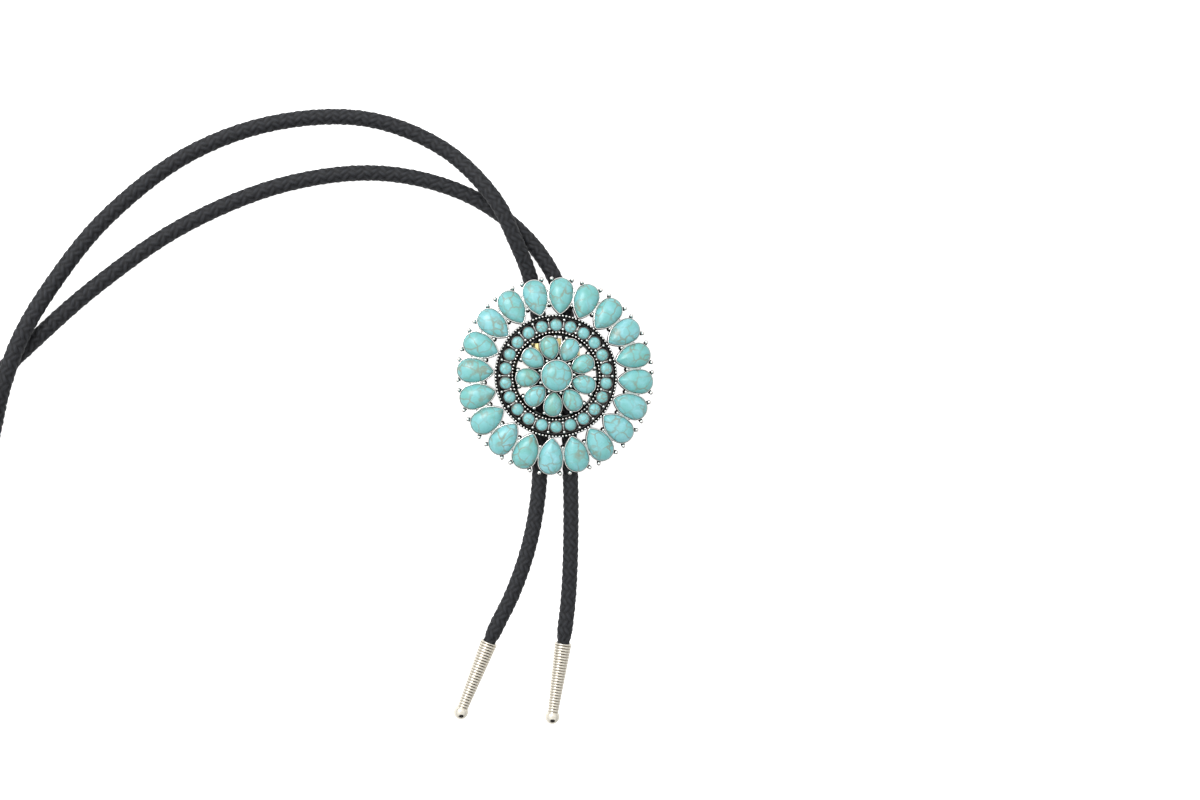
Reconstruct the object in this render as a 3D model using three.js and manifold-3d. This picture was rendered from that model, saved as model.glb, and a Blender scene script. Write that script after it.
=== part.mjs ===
// Bolo tie: a round silver concho set with turquoise cabochons, on a black braided cord with two ribbed tips.
// Millimetres, +Z up. It lies flat: the origin is on the surface, under the middle of the concho,
// +Y points to the neck loop and -Y to the free ends.
import * as THREE from "three";
import { mergeVertices } from "three/addons/utils/BufferGeometryUtils.js";
import Module from "manifold-3d";

// Cord
const cordDiameter = 5.4;
const cordSides = 8;
const cordSteps = 80;

// Brass clasp under the concho, one plain piece with two channels for the cord
const channelSpacing = 10.2;
const channelSideClearance = 0.5;
const channelClearance = 0.35;
const channelCorner = 2.4;
const claspSheet = 0.9;
const claspSideWall = 0.5;
const claspLength = 20;
const claspCentreY = 1.5;
const claspCorner = 2.6;
const claspCornerSteps = 2;
const claspTongue = { reach: 1.9, lap: 1 };

// Clearances between pieces
const seatGap = 0.3;
const stoneClearance = 0.15;
const jointGap = 0.3;

// Metalwork that all the settings share
const cupWall = 0.35;
const cupFloor = 0.5;
const leastCupGap = 0.3;
const prongSides = 4;
const prongFoot = 0.85;
const prongHead = 0.7;
const backThickness = 0.9;
const hubRadius = 4.5;
const hubSides = 18;
const armWidth = 3;
const armLap = 1.2;

// Stones: width, length where it differs, height of the straight girdle and of the dome above it
const centreStone = { width: 10.5, girdle: 0.9, dome: 2.9 };
const innerStone = { width: 6, length: 8.2, girdle: 0.8, dome: 2.1 };
const outerStone = { width: 8.15, length: 12.4, girdle: 1, dome: 2.7 };
const ringStone = { width: 4, girdle: 0.5, dome: 1.1 };
const centreStoneSides = 20;
const pearTaperPower = 2.8;
const pearSideShares = [0.78, 0.42];
const pearArcSteps = 6;
const domeShoulder = { share: 0.72, rise: 0.66 };

// Flower in the middle
const centreRise = 0.6;
const centreCupHeight = 2.2;
const innerCupHeight = 1.3;
const innerPhase = -13.5;
const armEvery = 3;
const innerBallRadius = 0.5;
const flowerBallRadius = 0.55;
const flowerProngTurn = 50;
const flowerPlate = { reach: 0.7, thickness: 0.4 };

// Beaded ring round the flower
const ringWidth = 6.8;
const ringStoneInset = 3;
const ringThickness = 1.1;
const ringRimWidth = 0.9;
const ringRimHeight = 0.55;
const ringLedge = 0.7;
const ringSegments = 36;
const ringStoneSides = 8;
const ringStoneSink = 0.3;
const leastRingStoneGap = 1.05;

// Outer petals
const outerStandoff = 0.3;
const outerPhase = 3.6;
const outerTilt = 8;
const outerCupHeight = 1.7;
const prongRadius = 0.6;
const prongReach = 0.2;
const prongTurn = 44;
const prongAboveWall = 1;
const barWidth = 0.9;
const barBottom = 0.25;
const barTop = 1.3;
const barInner = 25;
const barOuter = 30.3;
const barBallRadius = 0.62;

// Ribbed tips
const tipMouthRadius = 3.05;
const tipNeckRadius = 1.9;
const tipBallRadius = 2.5;
const tipBallDistance = 26.5;
const tipSides = 12;
const leftTipTurn = 21.9;
const rightTipTurn = 8.4;

// The cord's middle line, from the left tip through the clasp, round the neck loop and back to the right tip.
const cordRoute = [
  [-23.0, -93.6, 3.0],
  [-20.1, -87.5, 2.9],
  [-14.9, -77, 2.8],
  [-9.2, -60.5, 2.8],
  [-5.7, -41, 2.85],
  [-5.1, -14, 3.95],
  [-5.1, 15, 3.95],
  [-8.7, 34.8, 3.3],
  [-14.6, 48.5, 7.8],
  [-21.6, 62, 8.9],
  [-39.5, 80.2, 3.7],
  [-66, 90.2, 2.85],
  [-98, 88.2, 2.85],
  [-128, 76.2, 2.85],
  [-155, 54, 2.9],
  [-171.4, 32, 4.9],
  [-181.2, 13.5, 8.3],
  [-187.2, -3.2, 8.2],
  [-192.2, -21, 3.9],
  [-197.5, -42, 2.85],
  [-200.5, -62, 2.8],
  [-210, -79.5, 2.8],
  [-227, -84.5, 2.8],
  [-242.5, -75, 2.8],
  [-246, -56, 2.8],
  [-235, -40.5, 2.8],
  [-212, -21.2, 2.8],
  [-183.5, 7.1, 2.8],
  [-158, 30.8, 2.8],
  [-128, 52.4, 2.8],
  [-93, 67.2, 2.8],
  [-60, 71.2, 2.8],
  [-30.5, 64, 2.8],
  [-10.6, 49.9, 2.8],
  [0.4, 34.2, 2.9],
  [5.1, 15, 3.95],
  [5.1, -14, 3.95],
  [5.9, -50, 2.8],
  [5.1, -77, 2.8],
  [3.2, -94.4, 3.0],
];

// Heights and radii that follow from the sizes above
const cordRadius = cordDiameter / 2;
const channelHalf = cordRadius + channelSideClearance;
const channelHeight = cordDiameter + 2 * channelClearance;
const claspWidth = channelSpacing + 2 * (channelHalf + claspSideWall);
const claspHeight = channelHeight + 2 * claspSheet;
const frameBase = claspHeight + seatGap;
const flowerBase = frameBase + backThickness + seatGap;
const cupEdge = stoneClearance + cupWall;
const innerTip = centreStone.width / 2 + 2 * stoneClearance + cupWall;
const innerCentre = innerTip + innerStone.length - innerStone.width / 2;
const ringInner = innerTip + innerStone.length + cupEdge + seatGap;
const ringOuter = ringInner + ringWidth;
const ringStoneCentre = ringInner + ringStoneInset;
const outerTip = ringOuter + outerStandoff;
const outerCentre = outerTip + outerStone.length - outerStone.width / 2;
const touchShare = pearSideShares[1];
const touchRadius = innerCentre - touchShare * (innerStone.length - innerStone.width / 2);
const touchWidth = innerStone.width * (1 - touchShare ** pearTaperPower) + 2 * cupEdge;
const innerCount = Math.ceil((2 * Math.PI * touchRadius) / touchWidth); // the fewest cups that still touch
const outerCount = countRound(outerCentre, outerStone.width + 2 * cupEdge + leastCupGap);
const ringStoneCount = countRound(ringStoneCentre, ringStone.width + leastRingStoneGap);

const silver = new THREE.MeshStandardMaterial({ color: "#8f8d88", metalness: 1, roughness: 0.35 });
const brass = new THREE.MeshStandardMaterial({ color: "#c8a45c", metalness: 1, roughness: 0.3 });
const paleSilver = new THREE.MeshStandardMaterial({ color: "#d0c9bc", metalness: 1, roughness: 0.25 });
const turquoise = new THREE.MeshStandardMaterial({ color: "#79cbc7", metalness: 0, roughness: 0.3 });
const blackBraid = new THREE.MeshStandardMaterial({ color: "#1c1c1f", metalness: 0, roughness: 0.8 });

const wasm = await Module();
wasm.setup();

function countRound(radius, pitch) {
  return Math.floor((2 * Math.PI * radius) / pitch);
}

// Angles in the concho run clockwise from +Y, as on a clock face.
function clockTurn(degrees) {
  return new THREE.Matrix4().makeRotationZ(-THREE.MathUtils.degToRad(degrees));
}

// Where an outer petal lies: turned round the concho, then tipped down from the ring's edge.
function outerPlace(degrees) {
  const tip = new THREE.Matrix4().makeRotationX(-THREE.MathUtils.degToRad(outerTilt));
  tip.setPosition(0, ringOuter, frameBase);
  return clockTurn(degrees).multiply(tip);
}

function shifted(place, x, y, z) {
  return place.clone().multiply(new THREE.Matrix4().makeTranslation(x, y, z));
}

function solidOf(geometry, place = new THREE.Matrix4()) {
  const bare = geometry.clone().applyMatrix4(place);
  bare.deleteAttribute("normal");
  bare.deleteAttribute("uv");
  const merged = mergeVertices(bare, 1e-4);
  const index = merged.index.array;
  const triangles = [];
  for (let i = 0; i < index.length; i += 3) {
    const [a, b, c] = [index[i], index[i + 1], index[i + 2]];
    if (a !== b && b !== c && c !== a) triangles.push(a, b, c);
  }
  const vertProperties = merged.getAttribute("position").array;
  const mesh = new wasm.Mesh({ numProp: 3, vertProperties, triVerts: new Uint32Array(triangles) });
  return new wasm.Manifold(mesh);
}

function joined(solids) {
  return solids.reduce((sum, solid) => sum.add(solid));
}

function geometryOf(solid) {
  const mesh = solid.getMesh();
  const geometry = new THREE.BufferGeometry();
  geometry.setAttribute("position", new THREE.BufferAttribute(new Float32Array(mesh.vertProperties), 3));
  geometry.setIndex(new THREE.BufferAttribute(new Uint32Array(mesh.triVerts), 1));
  geometry.computeVertexNormals();
  return geometry;
}

function roundOutline(radius, sides) {
  return (grow) => {
    const points = [];
    for (let i = 0; i < sides; i += 1) {
      const angle = (2 * Math.PI * i) / sides;
      points.push(new THREE.Vector2(radius + grow, 0).rotateAround(new THREE.Vector2(), angle));
    }
    return points;
  };
}

// A pear with its round end towards +Y, drawn round the middle of that end, from the point anticlockwise.
function pearOutline({ width, length }) {
  const radius = width / 2;
  const taper = length - radius;
  const sidePoint = (share, side, grow) => {
    const slope = radius * pearTaperPower * share ** (pearTaperPower - 1);
    const normal = new THREE.Vector2(taper, -slope).normalize();
    const x = radius * (1 - share ** pearTaperPower) + grow * normal.x;
    return new THREE.Vector2(side * x, -taper * share + grow * normal.y);
  };
  return (grow) => {
    const right = pearSideShares.map((share) => sidePoint(share, 1, grow));
    const left = pearSideShares.map((share) => sidePoint(share, -1, grow)).reverse();
    const arc = [];
    for (let i = 0; i <= pearArcSteps; i += 1) {
      const angle = (Math.PI * i) / pearArcSteps;
      arc.push(new THREE.Vector2(radius + grow, 0).rotateAround(new THREE.Vector2(), angle));
    }
    return [new THREE.Vector2(0, -taper - grow), ...right, ...arc, ...left];
  };
}

// A closed solid of stacked outlines: each row gives a height, a share of the outline, and how far it grows.
function stacked(outlineOf, rows) {
  const outlines = rows.map((row) => outlineOf(row.grow ?? 0));
  const sides = outlines[0].length;
  const profile = rows.map((row) => new THREE.Vector2(row.share, row.z));
  const geometry = new THREE.LatheGeometry(profile, sides);
  const position = geometry.getAttribute("position");
  for (let i = 0; i < position.count; i += 1) {
    const row = i % rows.length;
    const point = outlines[row][Math.floor(i / rows.length) % sides].clone().multiplyScalar(rows[row].share);
    position.setXYZ(i, point.x, point.y, rows[row].z);
  }
  return geometry;
}

function prism(outlineOf, grow, bottom, top) {
  return stacked(outlineOf, [
    { share: 0, z: bottom },
    { share: 1, grow, z: bottom },
    { share: 1, grow, z: top },
    { share: 0, z: top },
  ]);
}

function cabochon(outlineOf, { girdle, dome }, bottom) {
  return stacked(outlineOf, [
    { share: 0, z: bottom },
    { share: 1, z: bottom },
    { share: 1, z: bottom + girdle },
    { share: domeShoulder.share, z: bottom + girdle + domeShoulder.rise * dome },
    { share: 0, z: bottom + girdle + dome },
  ]);
}

// A post that widens from bottom to top and ends in a blunt point.
function prong(radius, bottom, top) {
  return stacked(roundOutline(radius, prongSides), [
    { share: 0, z: bottom },
    { share: prongFoot, z: bottom },
    { share: 1, z: top - prongHead * radius },
    { share: 0, z: top },
  ]);
}

const stoneBase = cupFloor + seatGap;
const pocketTop = stoneBase + outerStone.girdle + outerStone.dome + seatGap;
const innerPear = pearOutline(innerStone);
const outerPear = pearOutline(outerStone);
const centreRound = roundOutline(centreStone.width / 2, centreStoneSides);

function innerAngle(i) {
  return innerPhase + (360 * i) / innerCount;
}

function outerAngle(i) {
  return outerPhase + (360 * i) / outerCount;
}

function ringProfile() {
  const top = ringThickness + ringRimHeight;
  return [
    [ringInner - ringLedge, 0],
    [ringOuter, 0],
    [ringOuter, top],
    [ringOuter - ringRimWidth, top],
    [ringOuter - ringRimWidth, ringThickness],
    [ringInner + ringRimWidth, ringThickness],
    [ringInner + ringRimWidth, top],
    [ringInner, top],
    [ringInner, backThickness],
    [ringInner - ringLedge, backThickness],
    [ringInner - ringLedge, 0],
  ].map(([radius, z]) => new THREE.Vector2(radius, frameBase + z));
}

// The ring with its small stones, and the three arms that carry the flower's hub behind it.
function ringSolids() {
  const upright = new THREE.Matrix4().makeRotationX(Math.PI / 2);
  const ring = solidOf(new THREE.LatheGeometry(ringProfile(), ringSegments), upright);
  const outline = roundOutline(ringStone.width / 2, ringStoneSides);
  const stone = cabochon(outline, ringStone, frameBase + ringThickness);
  const sunk = shifted(new THREE.Matrix4(), 0, ringStoneCentre, -ringStoneSink);
  const stones = [];
  for (let i = 0; i < ringStoneCount; i += 1) {
    stones.push(solidOf(stone, clockTurn((360 * i) / ringStoneCount).multiply(sunk)));
  }
  const hub = solidOf(prism(roundOutline(hubRadius, hubSides), 0, frameBase, frameBase + backThickness));
  const armLength = ringInner + armLap;
  const arm = new THREE.BoxGeometry(armWidth, armLength, backThickness);
  const arms = [];
  for (let i = 1; i < innerCount; i += armEvery) {
    const place = shifted(clockTurn(innerAngle(i)), 0, armLength / 2, frameBase + backThickness / 2);
    arms.push(solidOf(arm, place));
  }
  return [ring, ...stones, hub, ...arms];
}

// One outer cup with its two prongs, and the bar with a ball that joins it to the next cup.
function outerCupSolids(i) {
  const place = shifted(outerPlace(outerAngle(i)), 0, outerCentre - ringOuter, 0);
  const between = outerPlace(outerAngle(i + 0.5));
  const cup = solidOf(prism(outerPear, cupEdge, 0, outerCupHeight), place);
  const reach = outerStone.width / 2 + cupEdge + prongReach;
  const post = prong(prongRadius, cupFloor, outerCupHeight + prongAboveWall);
  const prongs = [-prongTurn, prongTurn].map((turn) => {
    const angle = THREE.MathUtils.degToRad(turn);
    return solidOf(post, shifted(place, reach * Math.sin(angle), reach * Math.cos(angle), 0));
  });
  const bar = new THREE.BoxGeometry(barWidth, barOuter - barInner, barTop - barBottom);
  const barPlace = shifted(between, 0, (barInner + barOuter) / 2 - ringOuter, (barBottom + barTop) / 2);
  const ball = prong(barBallRadius, barBottom, barTop + barBallRadius);
  const ballPlace = shifted(between, 0, barInner - ringOuter, 0);
  return [cup, ...prongs, solidOf(bar, barPlace), solidOf(ball, ballPlace)];
}

function conchoFrame() {
  const metal = ringSolids();
  const pockets = [];
  for (let i = 0; i < outerCount; i += 1) {
    metal.push(...outerCupSolids(i));
    const place = shifted(outerPlace(outerAngle(i)), 0, outerCentre - ringOuter, 0);
    pockets.push(solidOf(prism(outerPear, stoneClearance, cupFloor, pocketTop), place));
  }
  return geometryOf(joined(metal).subtract(joined(pockets)));
}

function flowerSetting() {
  const metal = [solidOf(prism(centreRound, cupEdge, flowerBase, flowerBase + centreRise + centreCupHeight))];
  const plateOutline = roundOutline(touchRadius + flowerPlate.reach, 3 * innerCount);
  metal.push(solidOf(prism(plateOutline, 0, flowerBase, flowerBase + flowerPlate.thickness)));
  const pocketFloor = flowerBase + centreRise + cupFloor;
  const pockets = [solidOf(prism(centreRound, stoneClearance, pocketFloor, flowerBase + 2 * pocketTop))];
  const reach = innerStone.width / 2 + cupEdge;
  const ballBase = flowerBase + cupFloor / 2;
  const outerBall = prong(flowerBallRadius, ballBase, flowerBase + innerCupHeight + flowerBallRadius);
  const innerBallTop = flowerBase + centreRise + centreCupHeight + innerBallRadius;
  const innerBall = prong(innerBallRadius, ballBase, innerBallTop);
  for (let i = 0; i < innerCount; i += 1) {
    const place = shifted(clockTurn(innerAngle(i)), 0, innerCentre, 0);
    metal.push(solidOf(prism(innerPear, cupEdge, flowerBase, flowerBase + innerCupHeight), place));
    const pocket = prism(innerPear, stoneClearance, flowerBase + cupFloor, flowerBase + pocketTop);
    pockets.push(solidOf(pocket, place));
    for (const turn of [-flowerProngTurn, flowerProngTurn]) {
      const angle = THREE.MathUtils.degToRad(turn);
      metal.push(solidOf(outerBall, shifted(place, reach * Math.sin(angle), reach * Math.cos(angle), 0)));
    }
    metal.push(solidOf(innerBall, shifted(clockTurn(innerAngle(i + 0.5)), 0, innerTip, 0)));
  }
  return geometryOf(joined(metal).subtract(joined(pockets)));
}

function roundedRectangle(path, left, right, bottom, top, corner) {
  path.moveTo(left + corner, bottom);
  path.lineTo(right - corner, bottom);
  path.absarc(right - corner, bottom + corner, corner, -Math.PI / 2, 0);
  path.absarc(right - corner, top - corner, corner, 0, Math.PI / 2);
  path.absarc(left + corner, top - corner, corner, Math.PI / 2, Math.PI);
  path.absarc(left + corner, bottom + corner, corner, Math.PI, 1.5 * Math.PI);
  return path;
}

function slideClasp() {
  const half = claspWidth / 2;
  const section = roundedRectangle(new THREE.Shape(), -half, half, 0, claspHeight, claspCorner);
  for (const side of [-1, 1]) {
    const middle = (side * channelSpacing) / 2;
    const [left, right] = [middle - channelHalf, middle + channelHalf];
    const top = claspSheet + channelHeight;
    section.holes.push(roundedRectangle(new THREE.Path(), left, right, claspSheet, top, channelCorner));
  }
  const options = { depth: claspLength, bevelEnabled: false, curveSegments: claspCornerSteps };
  const geometry = new THREE.ExtrudeGeometry(section, options);
  const end = claspCentreY + claspLength / 2;
  const body = solidOf(geometry.rotateX(Math.PI / 2).translate(0, end, 0));
  const tongueLength = claspTongue.reach + claspTongue.lap;
  const tongue = new THREE.BoxGeometry(channelSpacing - 2 * channelHalf, tongueLength, claspSheet);
  const middle = end - claspTongue.lap + tongueLength / 2;
  const place = new THREE.Matrix4().makeTranslation(0, middle, claspHeight - claspSheet / 2);
  return geometryOf(joined([body, solidOf(tongue, place)]));
}

function cordTube() {
  const route = new THREE.CatmullRomCurve3(cordRoute.map((point) => new THREE.Vector3(...point)));
  const section = new THREE.Shape(roundOutline(cordRadius, cordSides)(0));
  return new THREE.ExtrudeGeometry(section, { steps: cordSteps, extrudePath: route });
}

// A tip lies on the surface at the cord's end, a mouth's radius up at one end and a ball's at the other.
// It points to -Y, turned clockwise by the given angle.
function ribbedTip(name, end, turn) {
  const away = new THREE.Vector3(0, -1, 0).applyMatrix4(clockTurn(turn));
  const mouth = new THREE.Vector3(end[0], end[1], tipMouthRadius).addScaledVector(away, jointGap);
  const drop = tipMouthRadius - tipBallRadius;
  const axis = away.multiplyScalar(Math.sqrt(tipBallDistance ** 2 - drop ** 2)).setZ(-drop).normalize();
  const neck = tipBallDistance - Math.sqrt(tipBallRadius ** 2 - tipNeckRadius ** 2);
  const ballTurn = [-30, 0, 30, 60].map((degrees) => THREE.MathUtils.degToRad(degrees));
  const round = (radius, z) => ({ share: radius, z });
  const ballRow = (turn) => {
    return round(tipBallRadius * Math.cos(turn), tipBallDistance + tipBallRadius * Math.sin(turn));
  };
  const rows = [
    round(0, 0),
    round(tipMouthRadius, 0),
    round(tipNeckRadius, neck),
    ...ballTurn.map(ballRow),
    round(0, tipBallDistance + tipBallRadius),
  ];
  const tip = new THREE.Mesh(stacked(roundOutline(1, tipSides), rows), paleSilver);
  tip.name = name;
  tip.position.copy(mouth);
  tip.quaternion.setFromUnitVectors(new THREE.Vector3(0, 0, 1), axis);
  return tip;
}

function named(name, geometry, material) {
  const mesh = new THREE.Mesh(geometry, material);
  mesh.name = name;
  return mesh;
}

const bolo = new THREE.Group();
bolo.add(named("slide_clasp", slideClasp(), brass));
bolo.add(named("concho_frame", conchoFrame(), silver));
bolo.add(named("flower_setting", flowerSetting(), silver));

const centre = named("centre_stone", cabochon(centreRound, centreStone, centreRise + stoneBase), turquoise);
centre.position.z = flowerBase;
bolo.add(centre);

for (let i = 0; i < innerCount; i += 1) {
  const turned = new THREE.Group();
  turned.rotation.z = -THREE.MathUtils.degToRad(innerAngle(i));
  const stone = named(`inner_stone_${i + 1}`, cabochon(innerPear, innerStone, stoneBase), turquoise);
  stone.position.set(0, innerCentre, flowerBase);
  turned.add(stone);
  bolo.add(turned);
}

for (let i = 0; i < outerCount; i += 1) {
  const turned = new THREE.Group();
  turned.rotation.z = -THREE.MathUtils.degToRad(outerAngle(i));
  const tipped = new THREE.Group();
  tipped.position.set(0, ringOuter, frameBase);
  tipped.rotation.x = -THREE.MathUtils.degToRad(outerTilt);
  const number = String(i + 1).padStart(2, "0");
  const stone = named(`outer_stone_${number}`, cabochon(outerPear, outerStone, stoneBase), turquoise);
  stone.position.y = outerCentre - ringOuter;
  tipped.add(stone);
  turned.add(tipped);
  bolo.add(turned);
}

bolo.add(named("cord", cordTube(), blackBraid));
bolo.add(ribbedTip("tip_left", cordRoute[0], leftTipTurn));
bolo.add(ribbedTip("tip_right", cordRoute.at(-1), rightTipTurn));

export default bolo;
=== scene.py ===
# Looks of the bolo tie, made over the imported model.
# Sizes in the dictionaries are millimetres and degrees; angles in the concho run clockwise from +Y.
import math
import random

import bmesh
import bpy
import numpy as np
from mathutils import Matrix, Vector


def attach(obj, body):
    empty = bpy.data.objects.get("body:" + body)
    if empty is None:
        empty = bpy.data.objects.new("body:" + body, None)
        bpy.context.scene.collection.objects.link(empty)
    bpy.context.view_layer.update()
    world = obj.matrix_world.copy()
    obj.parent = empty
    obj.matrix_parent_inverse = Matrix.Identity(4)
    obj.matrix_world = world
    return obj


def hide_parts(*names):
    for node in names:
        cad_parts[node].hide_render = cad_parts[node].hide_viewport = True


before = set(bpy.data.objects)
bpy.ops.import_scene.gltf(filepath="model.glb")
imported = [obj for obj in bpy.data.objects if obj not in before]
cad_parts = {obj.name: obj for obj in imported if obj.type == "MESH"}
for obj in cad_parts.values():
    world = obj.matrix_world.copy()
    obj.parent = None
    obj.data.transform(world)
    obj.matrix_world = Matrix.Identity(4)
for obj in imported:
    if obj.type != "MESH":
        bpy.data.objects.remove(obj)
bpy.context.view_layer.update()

mm = 0.001
random.seed(7)
print("stage 1: frame loaded,", len(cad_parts), "nodes")


def toLinear(hexColour):
    linear = []
    for i in (1, 3, 5):
        c = int(hexColour[i:i + 2], 16) / 255
        linear.append(c / 12.92 if c <= 0.04045 else ((c + 0.055) / 1.055) ** 2.4)
    return (*linear, 1.0)


# Adds one node: settings are its own properties, inputs are values or sockets to link, stops fill a ramp.
def addNode(tree, kind, settings=None, inputs=None, stops=None):
    node = tree.nodes.new(kind)
    for name, value in (settings or {}).items():
        setattr(node, name, value)
    for key, value in (inputs or {}).items():
        if isinstance(value, bpy.types.NodeSocket):
            tree.links.new(value, node.inputs[key])
        else:
            node.inputs[key].default_value = value
    for i, (place, colour) in enumerate(stops or []):
        elements = node.color_ramp.elements
        element = elements[i] if i < len(elements) else elements.new(place)
        element.position = place
        element.color = colour if isinstance(colour, tuple) else toLinear(colour)
    return node


def newMaterial(name):
    material = bpy.data.materials.new(name)
    material.use_nodes = True
    tree = material.node_tree
    shader = tree.nodes["Principled BSDF"]
    return material, tree, shader


def roundOutline(radius, sides):
    angles = np.arange(sides) * 2 * math.pi / sides
    return lambda grow: (radius + grow) * np.stack([np.cos(angles), np.sin(angles)], 1)


# A rounded square of half width 1, to be stretched to size; it never grows.
def squareOutline(sides, power):
    angles = np.arange(sides) * 2 * math.pi / sides
    x, y = np.cos(angles), np.sin(angles)
    size = (np.abs(x) ** power + np.abs(y) ** power) ** (-1 / power)
    return lambda grow: np.stack([x * size, y * size], 1)


# A pear with its round end towards +Y, drawn round the middle of that end, with a slightly blunt point.
def pearOutline(width, length, blunt=0.6, power=2.8):
    radius = width / 2 - blunt
    taper = length - width / 2 - blunt
    shares = np.sin(np.linspace(0, math.pi / 2, 11)[1:])
    slope = -power * radius / taper * shares ** (power - 1)

    def outline(grow):
        reach = grow + blunt
        normals = np.stack([np.ones_like(slope), slope], 1)
        normals /= np.linalg.norm(normals, axis=1)[:, None]
        side = np.stack([radius * (1 - shares ** power), -taper * shares], 1) + reach * normals
        last = math.atan2(normals[-1, 1], normals[-1, 0])
        fan = np.linspace(last, -math.pi / 2, 4)[1:]
        point = np.stack([reach * np.cos(fan), reach * np.sin(fan) - taper], 1)
        right = np.concatenate([side, point])[::-1]  # from the point up to the round end
        arcTurns = np.linspace(0, math.pi, 19)
        arc = (radius + reach) * np.stack([np.cos(arcTurns), np.sin(arcTurns)], 1)
        left = right[1:][::-1] * (-1, 1)
        return np.concatenate([right, arc, left])

    return outline


# Rows of (share, grow, z, polish) on one outline; share 0 is a closed pole. Returns points, faces and polish.
def stackRows(outlineOf, rows, apex=(0.0, 0.0)):
    points, faces, polish, below = [], [], [], None
    for share, grow, z, value in rows:
        outline = outlineOf(grow) * share + np.array(apex) * (1 - share)
        start = len(points)
        level = [start] * len(outline) if share == 0 else list(range(start, start + len(outline)))
        points += [(*apex, z)] if share == 0 else [(x, y, z) for x, y in outline]
        polish += [value] * (len(points) - start)
        if below:
            for i in range(len(level)):
                j = (i + 1) % len(level)
                corners = list(dict.fromkeys([below[i], below[j], level[j], level[i]]))
                if len(corners) > 2:
                    faces.append(corners)
        below = level
    return np.array(points), faces, np.array(polish)


# Several such parts as one, each moved by its own matrix.
def gather(parts):
    points, faces, polish = [], [], []
    for place, (partPoints, partFaces, partPolish) in parts:
        start = sum(len(p) for p in points)
        turn = np.array(place)
        points.append(partPoints @ turn[:3, :3].T + turn[:3, 3])
        faces += [[start + i for i in face] for face in partFaces]
        polish.append(partPolish)
    return np.concatenate(points), faces, np.concatenate(polish)


# A ball that is wheeled bright on top and keeps its dark oxide round the foot.
def ball(radius, segments=12, rows=8, polish=1.0):
    levels = []
    for t in np.linspace(-math.pi / 2, math.pi / 2, rows):
        wheeled = min(1, max(0, 1.9 * math.sin(t) - 0.15))
        levels.append((max(0.0, math.cos(t)), 0, radius * math.sin(t), polish * wheeled))
    levels[0] = (0, *levels[0][1:])  # both poles are closed
    levels[-1] = (0, *levels[-1][1:])
    return stackRows(roundOutline(radius, segments), levels)


def move(x, y, z):
    return Matrix.Translation((x, y, z))


def stretch(x, y, z):
    return Matrix.Diagonal((x, y, z, 1))


def clockTurn(degrees):
    return Matrix.Rotation(-math.radians(degrees), 4, "Z")


# A mesh object from a shape in millimetres, its faces turned outwards.
def meshPiece(name, shape, material):
    points, faces, polish = shape
    mesh = bpy.data.meshes.new(name)
    mesh.from_pydata((np.asarray(points) * mm).tolist(), [], faces)
    layer = mesh.attributes.new("polish", "FLOAT", "POINT")
    layer.data.foreach_set("value", np.asarray(polish, np.float32))
    solid = bmesh.new()
    solid.from_mesh(mesh)
    bmesh.ops.recalc_face_normals(solid, faces=solid.faces)
    solid.to_mesh(mesh)
    solid.free()
    mesh.polygons.foreach_set("use_smooth", [True] * len(mesh.polygons))
    mesh.materials.append(material)
    piece = bpy.data.objects.new(name, mesh)
    bpy.context.collection.objects.link(piece)
    return piece


# Joins the points that coincide, then turns the faces outwards.
def closeSeams(mesh):
    closed = bmesh.new()
    closed.from_mesh(mesh)
    bmesh.ops.remove_doubles(closed, verts=closed.verts, dist=1e-7)
    bmesh.ops.recalc_face_normals(closed, faces=closed.faces)
    closed.to_mesh(mesh)
    closed.free()


# Turns an object's evaluated modifiers into its own plain mesh.
def bake(piece):
    graph = bpy.context.evaluated_depsgraph_get()
    baked = bpy.data.meshes.new_from_object(piece.evaluated_get(graph))
    piece.modifiers.clear()
    piece.data = baked
    return piece


def setInputs(modifier, tree, values):
    for item in tree.interface.items_tree:
        if item.item_type == "SOCKET" and item.in_out == "INPUT" and item.name in values:
            modifier[item.identifier] = values[item.name]


def newTree(name, inputs):
    tree = bpy.data.node_groups.new(name, "GeometryNodeTree")
    tree.interface.new_socket("Geometry", in_out="INPUT", socket_type="NodeSocketGeometry")
    for label, kind, value in inputs:
        socket = tree.interface.new_socket(label, in_out="INPUT", socket_type=kind)
        if value is not None:
            socket.default_value = value
    tree.interface.new_socket("Geometry", in_out="OUTPUT", socket_type="NodeSocketGeometry")
    given = addNode(tree, "NodeGroupInput").outputs
    return tree, given


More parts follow.
